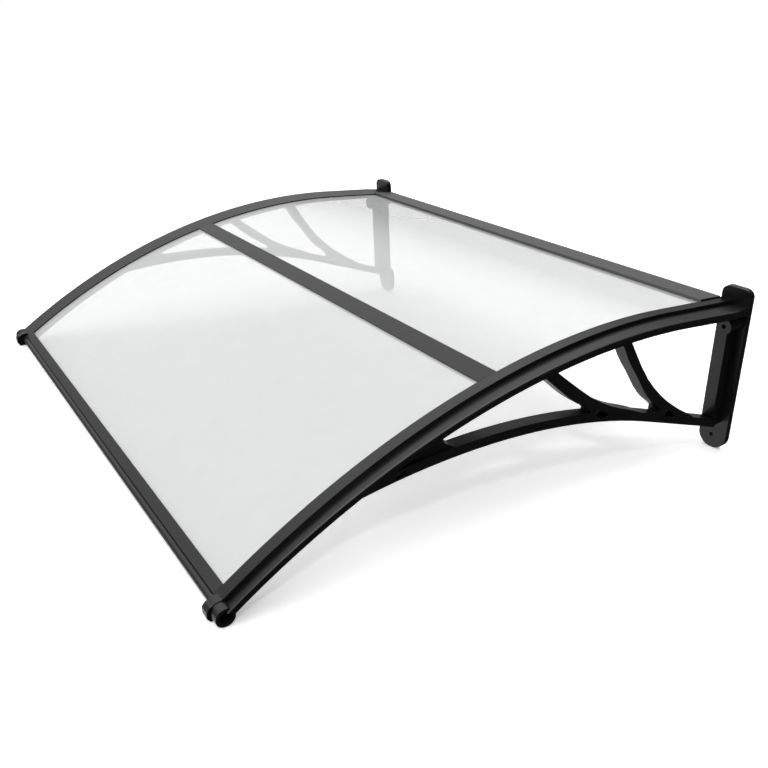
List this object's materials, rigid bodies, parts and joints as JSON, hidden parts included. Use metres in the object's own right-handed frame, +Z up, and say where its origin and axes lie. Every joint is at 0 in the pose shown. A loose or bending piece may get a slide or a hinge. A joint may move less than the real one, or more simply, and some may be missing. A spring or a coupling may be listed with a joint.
{
  "type": "door canopy",
  "caption": "Wall-mounted door canopy with clear curved sheets between two black moulded side brackets, framed by dark aluminium bars.",
  "frame": {"origin": "middle of the width, on the back face of the rubber wall seal, at half the seal's height; this face lies on the wall", "axes": "+X along the width, towards the right bracket seen from the front; +Y into the wall; +Z up"},
  "size_m": [1.0666, 0.9269, 0.2955],
  "materials": {
    "black_plastic": "satin black moulded plastic",
    "dark_aluminium": "dark anodised extrusion, satin",
    "clear_sheet": "clear polycarbonate sheet, glossy",
    "black_rubber": "matt rubber",
    "screw_steel": "zinc plated steel"
  },
  "bodies": {
    "root": {"bracket_right": "black_plastic", "bracket_left": "black_plastic", "front_bar": "dark_aluminium", "centre_bar": "dark_aluminium", "rear_bar": "dark_aluminium", "front_sheet": "clear_sheet", "rear_sheet": "clear_sheet", "wall_seal": "black_rubber", "front_screw_right": "screw_steel", "front_screw_left": "screw_steel", "centre_screw_right": "screw_steel", "centre_screw_left": "screw_steel", "rear_screw_right": "screw_steel", "rear_screw_left": "screw_steel"}
  },
  "joints": []
}
